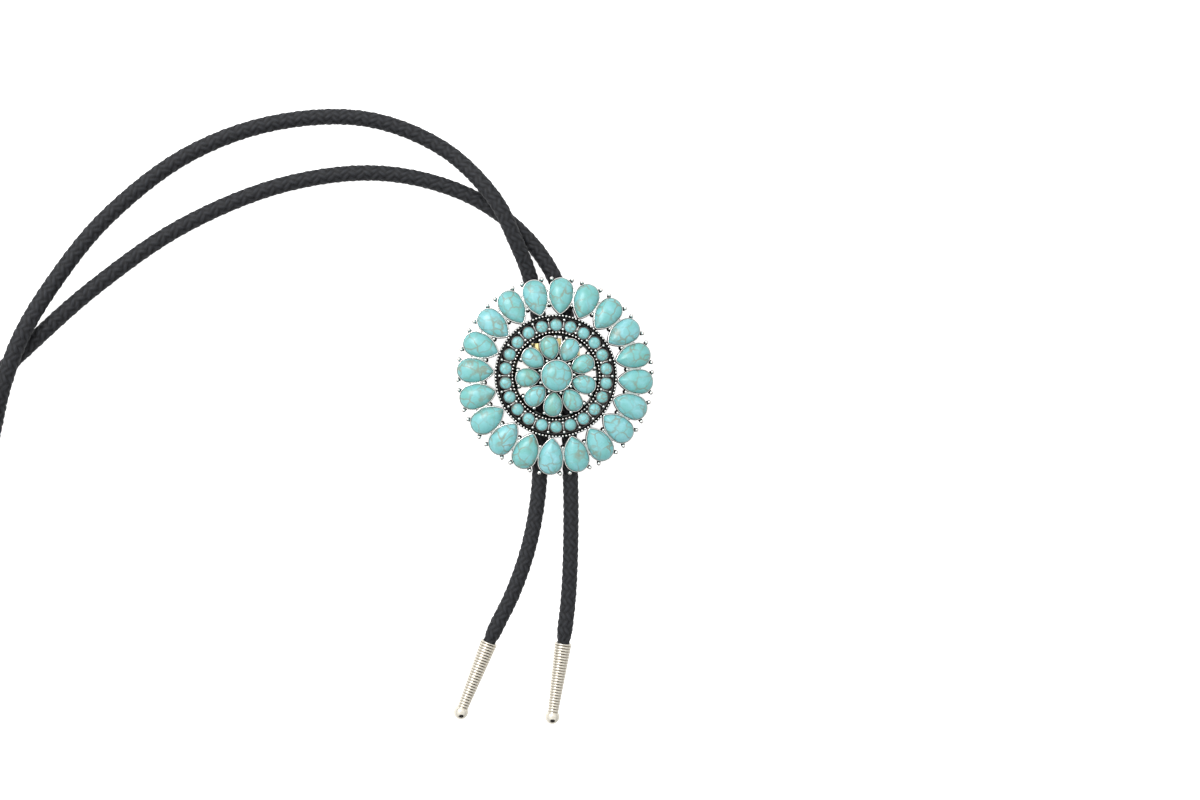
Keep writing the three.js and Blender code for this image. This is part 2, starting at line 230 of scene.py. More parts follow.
# Sets copies of the piece's own mesh round a circle, each turned to face outwards and tipped.
def makeRoundTree():
    tree, given = newTree("copies round a circle", [
        ("Count", "NodeSocketInt", 12),
        ("Radius", "NodeSocketFloat", 0.01),
        ("Height", "NodeSocketFloat", 0.0),
        ("Start", "NodeSocketFloat", 0.0),
        ("Tilt", "NodeSocketFloat", 0.0),
        ("Material", "NodeSocketMaterial", None),
    ])
    points = addNode(tree, "GeometryNodePoints", inputs={"Count": given["Count"]})
    index = addNode(tree, "GeometryNodeInputIndex").outputs[0]
    around = addNode(tree, "ShaderNodeMath", {"operation": "MULTIPLY"}, {0: index, 1: 2 * math.pi}).outputs[0]
    pitch = addNode(tree, "ShaderNodeMath", {"operation": "DIVIDE"}, {0: around, 1: given["Count"]})
    angle = addNode(tree, "ShaderNodeMath", {"operation": "ADD"},
                    {0: pitch.outputs[0], 1: given["Start"]}).outputs[0]
    sine = addNode(tree, "ShaderNodeMath", {"operation": "SINE"}, {0: angle}).outputs[0]
    cosine = addNode(tree, "ShaderNodeMath", {"operation": "COSINE"}, {0: angle}).outputs[0]
    across = addNode(tree, "ShaderNodeMath", {"operation": "MULTIPLY"}, {0: sine, 1: given["Radius"]})
    along = addNode(tree, "ShaderNodeMath", {"operation": "MULTIPLY"}, {0: cosine, 1: given["Radius"]})
    place = addNode(tree, "ShaderNodeCombineXYZ", inputs={
        0: across.outputs[0], 1: along.outputs[0], 2: given["Height"]})
    placed = addNode(tree, "GeometryNodeSetPosition", inputs={
        "Geometry": points.outputs[0], "Position": place.outputs[0]})
    back = addNode(tree, "ShaderNodeMath", {"operation": "MULTIPLY"}, {0: angle, 1: -1.0}).outputs[0]
    turn = addNode(tree, "ShaderNodeCombineXYZ", inputs={0: given["Tilt"], 2: back})
    copies = addNode(tree, "GeometryNodeInstanceOnPoints", inputs={
        "Points": placed.outputs[0], "Instance": given["Geometry"], "Rotation": turn.outputs[0]})
    real = addNode(tree, "GeometryNodeRealizeInstances", inputs={0: copies.outputs[0]})
    coated = addNode(tree, "GeometryNodeSetMaterial", inputs={
        "Geometry": real.outputs[0], "Material": given["Material"]})
    addNode(tree, "NodeGroupOutput", inputs={0: coated.outputs[0]})
    return tree


roundTree = makeRoundTree()


def repeatRound(name, shape, material, count, radius, height, start=0.0, tilt=0.0):
    piece = meshPiece(name, shape, material)
    modifier = piece.modifiers.new("copies", "NODES")
    modifier.node_group = roundTree
    setInputs(modifier, roundTree, {
        "Count": count, "Radius": radius * mm, "Height": height * mm,
        "Start": math.radians(start), "Tilt": math.radians(tilt), "Material": material})
    return bake(piece)


camera = {
    "place": (-46.02, -13.82, 534.81),
    "look": (0.11635742, 0.01019239, -0.99315511),  # nearly straight down, up the page is +Y
    "lens": 45.0,
    "sensor": 36.0,
}
back = -Vector(camera["look"])
right = Vector((0, 1, 0)).cross(back).normalized()
cameraData = bpy.data.cameras.new("camera")
cameraData.lens = camera["lens"]
cameraData.sensor_width = camera["sensor"]
cameraData.clip_start = 0.01
cameraData.clip_end = 100
cameraObject = bpy.data.objects.new("camera", cameraData)
turned = Matrix((right, back.cross(right), back)).transposed().to_4x4()
cameraObject.matrix_world = Matrix.Translation(Vector(camera["place"]) * mm) @ turned
bpy.context.collection.objects.link(cameraObject)
bpy.context.scene.camera = cameraObject
bpy.context.scene.view_settings.view_transform = "Standard"


# Noises over object coordinates have their scale in counts per metre: 700 gives patches of about 1.4 mm,
# 4000 a grain of 0.25 mm.

# Cast zinc alloy plated with silver and oxidised: near black where the polishing wheel never reached,
# pale and bright where it did. The polish attribute says how far each place was wheeled.
def makeAntiqueSilver():
    material, tree, shader = newMaterial("oxidised silver plate on cast alloy")
    where = addNode(tree, "ShaderNodeTexCoord").outputs["Object"]
    polish = addNode(tree, "ShaderNodeAttribute", {"attribute_name": "polish"}).outputs["Fac"]
    patches = addNode(tree, "ShaderNodeTexNoise", inputs={"Vector": where, "Scale": 700.0, "Detail": 4.0})
    uneven = addNode(tree, "ShaderNodeMath", {"operation": "MULTIPLY_ADD"},
                     {0: patches.outputs[0], 1: 0.4, 2: -0.2})
    worn = addNode(tree, "ShaderNodeMath", {"operation": "ADD", "use_clamp": True},
                   {0: polish, 1: uneven.outputs[0]}).outputs[0]
    colour = addNode(tree, "ShaderNodeValToRGB", inputs={0: worn}, stops=[
        (0.0, "#141414"), (0.3, "#3b3b3b"), (0.6, "#8d8b88"), (0.9, "#fbf9f5")])
    rough = addNode(tree, "ShaderNodeMapRange", inputs={0: worn, 3: 0.55, 4: 0.2})
    grain = addNode(tree, "ShaderNodeTexNoise", inputs={"Vector": where, "Scale": 4000.0, "Detail": 3.0})
    bump = addNode(tree, "ShaderNodeBump", inputs={
        "Strength": 0.25, "Distance": 0.00006, "Height": grain.outputs[0]})
    shader.inputs["Metallic"].default_value = 1.0
    tree.links.new(colour.outputs[0], shader.inputs["Base Color"])
    tree.links.new(rough.outputs[0], shader.inputs["Roughness"])
    tree.links.new(bump.outputs[0], shader.inputs["Normal"])
    return material


# Stabilised turquoise cut and tumbled as a cabochon: soft waxy gloss, cloudy aqua, thin tan matrix lines.
# The polish attribute carries each stone's own tone, from greenish 0 to bluish 1.
def makeTurquoise(name, veinSpacing, veinWidth, greener):
    material, tree, shader = newMaterial(name)
    where = addNode(tree, "ShaderNodeTexCoord").outputs["Object"]
    tone = addNode(tree, "ShaderNodeAttribute", {"attribute_name": "polish"}).outputs["Fac"]
    clouds = addNode(tree, "ShaderNodeTexNoise", inputs={
        "Vector": where, "Scale": 260.0, "Detail": 4.0, "Roughness": 0.6, "Distortion": 0.8})
    mixed = addNode(tree, "ShaderNodeMath", {"operation": "MULTIPLY_ADD", "use_clamp": True},
                    {0: tone, 1: 0.22, 2: clouds.outputs[0]})
    cloudy = addNode(tree, "ShaderNodeMapRange", inputs={0: mixed.outputs[0], 1: 0.35, 2: 0.95})
    body = addNode(tree, "ShaderNodeValToRGB", inputs={0: cloudy.outputs[0]}, stops=[
        (0.0, greener), (0.4, "#7dc4c5"), (0.72, "#8ccdd3"), (1.0, "#a0dae6")])
    bend = addNode(tree, "ShaderNodeTexNoise", inputs={"Vector": where, "Scale": 420.0, "Detail": 2.0})
    shift = addNode(tree, "ShaderNodeVectorMath", {"operation": "MULTIPLY_ADD"},
                    {0: bend.outputs[1], 1: (0.0022,) * 3, 2: where}).outputs[0]
    cells = addNode(tree, "ShaderNodeTexVoronoi", {"feature": "DISTANCE_TO_EDGE"},
                    {"Vector": shift, "Scale": 1000 / veinSpacing})
    line = addNode(tree, "ShaderNodeMapRange", {"interpolation_type": "SMOOTHSTEP"}, {
        0: cells.outputs[0], 1: 0.0, 2: veinWidth / veinSpacing, 3: 1.0, 4: 0.0}).outputs[0]
    patchy = addNode(tree, "ShaderNodeTexNoise", inputs={"Vector": where, "Scale": 210.0, "Detail": 1.0})
    strength = addNode(tree, "ShaderNodeMapRange", inputs={
        0: patchy.outputs[0], 1: 0.38, 2: 0.6, 3: 0.2, 4: 0.74}).outputs[0]
    veins = addNode(tree, "ShaderNodeMath", {"operation": "MULTIPLY"}, {0: line, 1: strength}).outputs[0]
    colour = addNode(tree, "ShaderNodeMix", {"data_type": "RGBA"},
                     {0: veins, 6: body.outputs[0], 7: toLinear("#88876f")})
    pits = addNode(tree, "ShaderNodeTexNoise", inputs={"Vector": where, "Scale": 1600.0, "Detail": 3.0})
    height = addNode(tree, "ShaderNodeMath", {"operation": "MULTIPLY_ADD"},
                     {0: veins, 1: -1.2, 2: pits.outputs[0]})
    bump = addNode(tree, "ShaderNodeBump", inputs={
        "Strength": 0.2, "Distance": 0.00008, "Height": height.outputs[0]})
    rough = addNode(tree, "ShaderNodeMapRange", inputs={0: pits.outputs[0], 1: 0.3, 2: 0.7, 3: 0.26, 4: 0.4})
    shader.inputs["IOR"].default_value = 1.61
    tree.links.new(colour.outputs[2], shader.inputs["Base Color"])
    tree.links.new(rough.outputs[0], shader.inputs["Roughness"])
    tree.links.new(bump.outputs[0], shader.inputs["Normal"])
    return material


# Yellow brass sheet, pressed and lightly brushed along the clasp.
def makeBrass():
    material, tree, shader = newMaterial("brushed yellow brass")
    where = addNode(tree, "ShaderNodeTexCoord").outputs["Object"]
    along = addNode(tree, "ShaderNodeMapping", inputs={"Vector": where, "Scale": (6000.0, 250.0, 6000.0)})
    lines = addNode(tree, "ShaderNodeTexNoise", inputs={
        "Vector": along.outputs[0], "Scale": 1.0, "Detail": 3.0})
    colour = addNode(tree, "ShaderNodeValToRGB", inputs={0: lines.outputs[0]}, stops=[
        (0.3, "#ecd48a"), (0.7, "#fff0b4")])
    rough = addNode(tree, "ShaderNodeMapRange", inputs={0: lines.outputs[0], 3: 0.28, 4: 0.45})
    bump = addNode(tree, "ShaderNodeBump", inputs={
        "Strength": 0.15, "Distance": 0.00003, "Height": lines.outputs[0]})
    shader.inputs["Metallic"].default_value = 1.0
    tree.links.new(colour.outputs[0], shader.inputs["Base Color"])
    tree.links.new(rough.outputs[0], shader.inputs["Roughness"])
    tree.links.new(bump.outputs[0], shader.inputs["Normal"])
    return material


# Thin nickel plate over pressed brass: warm pale metal. The polish attribute paints shade into it: darker
# grey in the grooves between the ribs and inside the socket, palest on the rib crests and the ball.
def makePlatedTip():
    material, tree, shader = newMaterial("warm nickel plate")
    where = addNode(tree, "ShaderNodeTexCoord").outputs["Object"]
    polish = addNode(tree, "ShaderNodeAttribute", {"attribute_name": "polish"}).outputs["Fac"]
    smears = addNode(tree, "ShaderNodeTexNoise", inputs={"Vector": where, "Scale": 900.0, "Detail": 3.0})
    # polish here is painted shade, darkest in the grooves and the socket
    tone = addNode(tree, "ShaderNodeMath", {"operation": "MULTIPLY_ADD", "use_clamp": True},
                   {0: smears.outputs[0], 1: 0.12, 2: polish}).outputs[0]
    colour = addNode(tree, "ShaderNodeValToRGB", inputs={0: tone}, stops=[
        (0.0, "#857a66"), (0.45, "#ccc2af"), (1.0, "#faf4e6")])
    rough = addNode(tree, "ShaderNodeMapRange", inputs={0: smears.outputs[0], 3: 0.16, 4: 0.3})
    shader.inputs["Metallic"].default_value = 1.0
    tree.links.new(colour.outputs[0], shader.inputs["Base Color"])
    tree.links.new(rough.outputs[0], shader.inputs["Roughness"])
    return material


cord = {
    "diameter": 5.4,
    "crownRadius": 2.86,  # over the tops of the strands
    "relief": 0.62,  # how far a strand stands above the dips beside it
    "strands": 8,  # in each of the two directions
    "pitch": 2.6,  # from one strand to the next along the cord
    "ringStep": 0.45,
    "sides": 36,
    "neckRadius": 2.35,  # drawn in where it enters a tip
    "neckLength": 4,
    "insideTip": 2.4,
}


# Round braid of dyed nylon yarn: matt black, each strand a bundle of fine filaments with a faint grey sheen
# from the shader. The colour also holds painted shade and a painted sheen: the polish attribute carries each
# strand's height, so the dips are painted darker and the crests lighter.
def makeBraid():
    material, tree, shader = newMaterial("braided black nylon")
    polish = addNode(tree, "ShaderNodeAttribute", {"attribute_name": "polish"}).outputs["Fac"]
    uv = addNode(tree, "ShaderNodeUVMap", {"uv_map": "UVMap"}).outputs[0]
    around, down = addNode(tree, "ShaderNodeSeparateXYZ", inputs={0: uv}).outputs[:2]
    first = addNode(tree, "ShaderNodeMath", {"operation": "ADD"}, {0: down, 1: around}).outputs[0]
    second = addNode(tree, "ShaderNodeMath", {"operation": "SUBTRACT"}, {0: down, 1: around}).outputs[0]
    filaments = []
    for across, along in ((first, second), (second, first)):
        fine = addNode(tree, "ShaderNodeMath", {"operation": "MULTIPLY"}, {0: across, 1: 9.0}).outputs[0]
        coarse = addNode(tree, "ShaderNodeMath", {"operation": "MULTIPLY"}, {0: along, 1: 0.8}).outputs[0]
        place = addNode(tree, "ShaderNodeCombineXYZ", inputs={0: fine, 1: coarse}).outputs[0]
        noise = addNode(tree, "ShaderNodeTexNoise", inputs={"Vector": place, "Scale": 1.0, "Detail": 2.0})
        filaments.append(noise.outputs[0])
    i = addNode(tree, "ShaderNodeMath", {"operation": "FLOOR"}, {0: first}).outputs[0]
    j = addNode(tree, "ShaderNodeMath", {"operation": "FLOOR"}, {0: second}).outputs[0]
    both = addNode(tree, "ShaderNodeMath", {"operation": "ADD"}, {0: i, 1: j}).outputs[0]
    turn = addNode(tree, "ShaderNodeMath", {"operation": "FLOORED_MODULO"}, {0: both, 1: 4.0}).outputs[0]
    isSecond = addNode(tree, "ShaderNodeMath", {"operation": "GREATER_THAN"}, {0: turn, 1: 1.5}).outputs[0]
    yarn = addNode(tree, "ShaderNodeMix", inputs={0: isSecond, 2: filaments[0], 3: filaments[1]}).outputs[0]
    # painted shade in the dips and painted sheen on the crests, from the strand height in the polish
    # attribute and the filaments
    height = addNode(tree, "ShaderNodeMath", {"operation": "MULTIPLY_ADD"}, {0: polish, 1: 0.9, 2: yarn})
    shade = addNode(tree, "ShaderNodeMapRange", inputs={0: height.outputs[0], 1: 0.45, 2: 1.45})
    colour = addNode(tree, "ShaderNodeValToRGB", inputs={0: shade.outputs[0]}, stops=[
        (0.0, "#08080a"), (0.5, "#151619"), (1.0, "#2d2f34")])
    bump = addNode(tree, "ShaderNodeBump", inputs={"Strength": 0.35, "Distance": 0.00012, "Height": yarn})
    shader.inputs["Roughness"].default_value = 0.62
    shader.inputs["Specular IOR Level"].default_value = 0.35
    shader.inputs["Sheen Weight"].default_value = 0.15
    shader.inputs["Sheen Roughness"].default_value = 0.4
    tree.links.new(colour.outputs[0], shader.inputs["Base Color"])
    tree.links.new(bump.outputs[0], shader.inputs["Normal"])
    return material


turquoise = {  # distance between veins, vein width, the greener colour of the body
    "petals": (4.2, 0.42, "#72bab3"),
    "flower": (3.4, 0.38, "#77b3a3"),
    "ring": (1.8, 0.24, "#6eabac"),
}
silver = makeAntiqueSilver()
outerTurquoise = makeTurquoise("turquoise of the petals", *turquoise["petals"])
innerTurquoise = makeTurquoise("turquoise of the flower", *turquoise["flower"])
ringTurquoise = makeTurquoise("turquoise of the ring", *turquoise["ring"])
brass = makeBrass()
platedTip = makePlatedTip()
braid = makeBraid()
print("stage 2: camera and materials")

cordRoute = [
    (-23, -93.6, 3.0), (-20.1, -87.5, 2.9), (-14.9, -77, 2.8), (-9.2, -60.5, 2.8), (-5.7, -41, 2.85),
    (-5.1, -14, 3.95), (-5.1, 15, 3.95), (-8.7, 34.8, 3.3), (-14.6, 48.5, 7.8), (-21.6, 62, 8.9),
    (-39.5, 80.2, 3.7), (-66, 90.2, 2.85), (-98, 88.2, 2.85), (-128, 76.2, 2.85), (-155, 54, 2.9),
    (-171.4, 32, 4.9), (-181.2, 13.5, 8.3), (-187.2, -3.2, 8.2), (-192.2, -21, 3.9), (-197.5, -42, 2.85),
    (-200.5, -62, 2.8), (-210, -79.5, 2.8), (-227, -84.5, 2.8), (-242.5, -75, 2.8), (-246, -56, 2.8),
    (-235, -40.5, 2.8), (-212, -21.2, 2.8), (-183.5, 7.1, 2.8), (-158, 30.8, 2.8), (-128, 52.4, 2.8),
    (-93, 67.2, 2.8), (-60, 71.2, 2.8), (-30.5, 64, 2.8), (-10.6, 49.9, 2.8), (0.4, 34.2, 2.9),
    (5.1, 15, 3.95), (5.1, -14, 3.95), (5.9, -50, 2.8), (5.1, -77, 2.8), (3.2, -94.4, 3.0),
]
tip = {
    "mouthRadius": 3.05,
    "neckRadius": 1.9,
    "ballRadius": 2.55,
    "ballDistance": 26.5,
    "gap": 0.3,
    "mouthRows": (  # radius, distance from the mouth, polish (painted shade, darkest inside the socket), out of the socket and over its lip
        (0, 3.2, 0), (2.2, 3.2, 0), (2.42, 2.9, 0.05), (2.45, 0.35, 0.3), (2.55, 0.08, 1), (2.72, 0, 1),
        (2.92, 0.06, 1), (3.0, 0.22, 1), (3.0, 0.5, 0.8)),
    "coreStart": 0.68,  # from the mouth
    "coreStop": 0.7,  # before the ball, as is ribStop
    "neckStep": 0.2,  # how much narrower the neck is where it meets the ball
    "ribs": 24,  # a little fewer than the real tip has, so that they show
    "ribWidth": 1.0,
    "ribStart": 0.75,
    "ribStop": 0.6,
    "ribRelief": 0.28,
    "ribRoot": 0.25,  # how far each rib is sunk in the core
    "sides": 40,
    "leftTurn": 21.9,  # which way it points, clockwise from -Y
    "rightTurn": 8.4,
}


# The same centripetal curve as in the part's source, as points that are evenly spaced along it.
def smoothRoute(points, step):
    points = np.array(points, float)
    padded = np.concatenate([[2 * points[0] - points[1]], points, [2 * points[-1] - points[-2]]])
    fine = []
    for p0, p1, p2, p3 in zip(padded, padded[1:], padded[2:], padded[3:]):
        d0, d1, d2 = (np.linalg.norm(b - a) ** 0.5 for a, b in ((p0, p1), (p1, p2), (p2, p3)))
        t1 = ((p1 - p0) / d0 - (p2 - p0) / (d0 + d1) + (p2 - p1) / d1) * d1
        t2 = ((p2 - p1) / d1 - (p3 - p1) / (d1 + d2) + (p3 - p2) / d2) * d1
        t = np.linspace(0, 1, 60, endpoint=False)[:, None]
        fine.append(p1 + t1 * t + (3 * (p2 - p1) - 2 * t1 - t2) * t ** 2 + (2 * (p1 - p2) + t1 + t2) * t ** 3)
    fine = np.concatenate([*fine, points[-1:]])
    length = np.concatenate([[0], np.cumsum(np.linalg.norm(np.diff(fine, axis=0), axis=1))])
    even = np.linspace(0, length[-1], round(length[-1] / step) + 1)
    return np.stack([np.interp(even, length, fine[:, i]) for i in range(3)], 1)


def tipAway(turn):
    return np.array([-math.sin(math.radians(turn)), -math.cos(math.radians(turn)), 0])


# Height of a two-over, two-under braid at strand coordinates a and b, from 0 in the dips to 1 on the strands.
def braidHeight(a, b):
    i, j = np.floor(a), np.floor(b)
    onFirst = (i + j) % 4 < 2
    across = np.where(onFirst, a - i, b - j) - 0.5
    along = np.where(onFirst, (i + b) % 4, (a + j) % 4 - 2) / 2
    rounded = np.sqrt(np.clip(1 - (2 * across) ** 2, 0, 1))
    return rounded * (0.6 + 0.4 * np.sin(math.pi * np.clip(along, 0, 1)) ** 0.8)


def makeCord():
    route = smoothRoute(cordRoute, cord["ringStep"])
    inward = np.arange(cord["ringStep"], cord["insideTip"] + 0.01, cord["ringStep"])[:, None]
    leftEnd = route[0] + tipAway(tip["leftTurn"]) * inward[::-1]
    rightEnd = route[-1] + tipAway(tip["rightTurn"]) * inward
    path = np.concatenate([leftEnd, route, rightEnd])
    tangent = np.gradient(path, axis=0)
    tangent /= np.linalg.norm(tangent, axis=1)[:, None]
    side = np.cross(tangent, (0, 0, 1))
    side /= np.linalg.norm(side, axis=1)[:, None]
    up = np.cross(side, tangent)
    count, sides = len(path), cord["sides"]
    total = (count - 1) * cord["ringStep"]
    distance = np.linspace(0, total, count)
    turn = np.arange(sides + 1) / sides  # a whole turn, so the seam's UVs close
    along = distance[:, None] / cord["pitch"]
    a = along + cord["strands"] * turn[None, :]
    b = along - cord["strands"] * turn[None, :]
    height = braidHeight(a, b)[:, :sides]
    fromEnd = np.minimum(distance, total - distance)
    eased = np.clip((fromEnd - cord["insideTip"]) / cord["neckLength"], 0, 1)
    eased = eased * eased * (3 - 2 * eased)
    outer = cord["neckRadius"] + (cord["crownRadius"] - cord["neckRadius"]) * eased
    radius = outer[:, None] - cord["relief"] * (1 - height)
    angle = turn[:sides] * 2 * math.pi - math.pi / 2
    points = (path[:, None, :] + radius[..., None] * (
        np.cos(angle)[None, :, None] * side[:, None, :] + np.sin(angle)[None, :, None] * up[:, None, :]))
    points = np.concatenate([points.reshape(-1, 3), path[:1], path[-1:]])
    points[:, 2] = np.maximum(points[:, 2], 0)  # pressed flat where it rests
    faces = []
    for r in range(count - 1):
        for s in range(sides):
            n = (s + 1) % sides
            faces.append([r * sides + s, r * sides + n, (r + 1) * sides + n, (r + 1) * sides + s])
    lastRing = (count - 1) * sides
    for s in range(sides):
        n = (s + 1) % sides
        faces.append([n, s, count * sides])
        faces.append([lastRing + s, lastRing + n, count * sides + 1])
    # the strand height goes into the polish attribute, where the braid's colour paints shade into the dips
    # and a sheen onto the crests
    shine = np.concatenate([height.ravel(), [0, 0]])
    piece = meshPiece("braided_cord", (points, faces, shine), braid)
    # the faces keep their order when they are turned outwards, but a turned face starts at another corner
    layer = piece.data.uv_layers.new(name="UVMap")
    wrap = cord["strands"]
    for face in piece.data.polygons:
        ids = list(face.vertices)
        seam = any(i < lastRing + sides and i % sides == sides - 1 for i in ids)
        for loop, i in zip(face.loop_indices, ids):
            if i >= count * sides:
                layer.data[loop].uv = (0, 0)
                continue
            r, s = divmod(i, sides)
            u = wrap if seam and s == 0 else turn[s] * wrap
            layer.data[loop].uv = (u, along[r, 0])
    return piece, path, total


cordPiece, cordPath, cordLength = makeCord()
print("stage 3: cord", round(cordLength, 1), "mm,", len(cordPiece.data.polygons), "faces")


# Copies of one rib along +Z, made at the mouth's radius and drawn in towards the neck.
def makeRibTree():
    tree, given = newTree("ribs down a taper", [
        ("Count", "NodeSocketInt", 20),
        ("Pitch", "NodeSocketFloat", 0.001),
        ("Start", "NodeSocketFloat", 0.0),
        ("Mouth radius", "NodeSocketFloat", 0.003),
        ("Shrink per metre", "NodeSocketFloat", 0.04),
        ("Material", "NodeSocketMaterial", None),
    ])
    points = addNode(tree, "GeometryNodePoints", inputs={"Count": given["Count"]})
    index = addNode(tree, "GeometryNodeInputIndex").outputs[0]
    along = addNode(tree, "ShaderNodeMath", {"operation": "MULTIPLY_ADD"},
                    {0: index, 1: given["Pitch"], 2: given["Start"]}).outputs[0]
    lost = addNode(tree, "ShaderNodeMath", {"operation": "MULTIPLY"},
                   {0: along, 1: given["Shrink per metre"]}).outputs[0]
    radius = addNode(tree, "ShaderNodeMath", {"operation": "SUBTRACT"},
                     {0: given["Mouth radius"], 1: lost}).outputs[0]
    share = addNode(tree, "ShaderNodeMath", {"operation": "DIVIDE"},
                    {0: radius, 1: given["Mouth radius"]}).outputs[0]
    place = addNode(tree, "ShaderNodeCombineXYZ", inputs={2: along})
    placed = addNode(tree, "GeometryNodeSetPosition", inputs={
        "Geometry": points.outputs[0], "Position": place.outputs[0]})
    size = addNode(tree, "ShaderNodeCombineXYZ", inputs={0: share, 1: share, 2: 1.0})
    copies = addNode(tree, "GeometryNodeInstanceOnPoints", inputs={
        "Points": placed.outputs[0], "Instance": given["Geometry"], "Scale": size.outputs[0]})
    real = addNode(tree, "GeometryNodeRealizeInstances", inputs={0: copies.outputs[0]})
    coated = addNode(tree, "GeometryNodeSetMaterial", inputs={
        "Geometry": real.outputs[0], "Material": given["Material"]})
    addNode(tree, "NodeGroupOutput", inputs={0: coated.outputs[0]})
    return tree


ribTree = makeRibTree()


# Rows of (radius, z, polish) turned round the Z axis.
def turnedRows(rows, sides):
    return stackRows(roundOutline(1.0, sides), [(radius, 0, z, polish) for radius, z, polish in rows])


def makeTip(name, node, end, turn):
    mouthRadius, ballRadius, distance = tip["mouthRadius"], tip["ballRadius"], tip["ballDistance"]
    away = tipAway(turn)
    mouth = np.array([end[0], end[1], mouthRadius]) + away * tip["gap"]
    drop = mouthRadius - ballRadius  # the mouth and the ball both rest on the surface
    axis = Vector(away * math.sqrt(distance ** 2 - drop ** 2) - np.array([0, 0, drop])).normalized()
    lean = Vector((0, 0, 1)).rotation_difference(axis).to_matrix().to_4x4()
    place = Matrix.Translation(Vector(mouth) * mm) @ lean
    neckRadius = tip["neckRadius"] - tip["neckStep"]
    neck = distance - math.sqrt(ballRadius ** 2 - neckRadius ** 2)
    core = mouthRadius - tip["ribRelief"]
    # the core between the ribs gets a low polish, painted shade in the grooves; the neck is a little lighter
    # and the ball palest
    rows = [*tip["mouthRows"], (core, tip["coreStart"], 0.05),
            (tip["neckRadius"] - tip["ribRelief"], neck - tip["coreStop"], 0.05),
            (tip["neckRadius"] - tip["neckStep"] / 2, neck - tip["coreStop"] / 2, 0.3),
            (neckRadius, neck, 0.3)]
    for t in np.linspace(-math.acos(neckRadius / ballRadius), math.pi / 2, 13)[1:-1]:
        rows.append((ballRadius * math.cos(t), distance + ballRadius * math.sin(t), 1))
    rows.append((0, distance + ballRadius, 1))
    body = meshPiece(name, turnedRows(rows, tip["sides"]), platedTip)
    half = tip["ribWidth"] / 2
    wave = []
    # each rib's polish is painted shade, darkest at its root and palest on its crest
    for t in np.linspace(0.12, math.pi - 0.12, 9):
        crest = math.sin(t)
        wave.append((mouthRadius - tip["ribRelief"] * (1 - crest), -half * math.cos(t), crest ** 1.5))
    root = core - tip["ribRoot"]
    rib = [(root, wave[0][1], 0), *wave, (root, wave[-1][1], 0), (root, wave[0][1], 0)]
    ribs = meshPiece(name + "_ribs", turnedRows(rib, tip["sides"]), platedTip)
    closeSeams(ribs.data)
    modifier = ribs.modifiers.new("ribs", "NODES")
    modifier.node_group = ribTree
    run = neck - tip["ribStop"] - tip["ribStart"]
    setInputs(modifier, ribTree, {
        "Count": tip["ribs"], "Pitch": run / (tip["ribs"] - 0.5) * mm, "Start": (tip["ribStart"] + half) * mm,
        "Mouth radius": mouthRadius * mm, "Material": platedTip,
        "Shrink per metre": (mouthRadius - tip["neckRadius"]) / neck})
    bake(ribs)
    for piece in (body, ribs):
        piece.data.transform(place)
        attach(piece, "root")
        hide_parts(node)
    return [body, ribs]


leftTip = makeTip("ribbed_tip_left", "tip_left", cordRoute[0], tip["leftTurn"])
rightTip = makeTip("ribbed_tip_right", "tip_right", cordRoute[-1], tip["rightTurn"])

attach(cordPiece, "root")
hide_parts("cord")
print("stage 4: tips")

claspFinish = {
    "bevel": 0.22,
    "bevelSteps": 2,
    "sharp": 40,  # edges that turn by more than this are eased
}


def makeClasp():
    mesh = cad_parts["slide_clasp"].data.copy()  # loose triangles, so they are joined first
    merged = bmesh.new()
    merged.from_mesh(mesh)
    bmesh.ops.remove_doubles(merged, verts=merged.verts, dist=1e-6)
    bmesh.ops.dissolve_limit(merged, angle_limit=0.02, verts=merged.verts, edges=merged.edges)
    merged.to_mesh(mesh)
    merged.free()
    mesh.materials.clear()
    mesh.materials.append(brass)
    piece = bpy.data.objects.new("brass_slide_clasp", mesh)
    bpy.context.collection.objects.link(piece)
    bevel = piece.modifiers.new("bevel", "BEVEL")
    bevel.width = claspFinish["bevel"] * mm
    bevel.segments = claspFinish["bevelSteps"]
    bevel.limit_method = "ANGLE"
    bevel.angle_limit = math.radians(claspFinish["sharp"])
    bevel.harden_normals = False
    return bake(piece)


clasp = makeClasp()
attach(clasp, "root")
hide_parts("slide_clasp")
print("stage 5: clasp")

concho = {
    "frameBase": 8.2,  # the back of the frame above the surface
    "flowerBase": 9.4,  # the back of the flower above the surface
    "stoneBase": 0.8,  # the underside of a stone above the foot of its cup
    "hubRadius": 4.5,
    "armLength": 16.1,
    "armWidth": 3.0,
    "arms": 3,
    "armStart": 26.5,
    "backThickness": 0.9,
}
petal = {
    "count": 20,
    "width": 8.15,  # of the stone
    "length": 12.4,
    "centre": 30.325,  # middle of the stone's round end, from the middle of the concho
    "hinge": 21.7,  # the ring's edge, where the petals tip down
    "tilt": -8,
    "phase": 3.6,  # where the first petal points
    "girdle": 1.0,
    "dome": 2.7,
    "apex": (0, -1.2),
}
petalCup = {
    "wallHeight": 1.7,
    "floor": 0.5,
    "outerGrow": 0.46,  # beyond the stone's edge, as is innerGrow
    "innerGrow": 0.1,
    "prongTurn": 44,
    "postReach": 0.75,  # beyond the stone's edge, as is ballReach
    "postHeight": 0.95,
    "postSize": (0.78, 0.78, 0.95),
    "ballReach": 1.22,
    "ballHeight": 1.75,
    "ballRadius": 0.76,
}
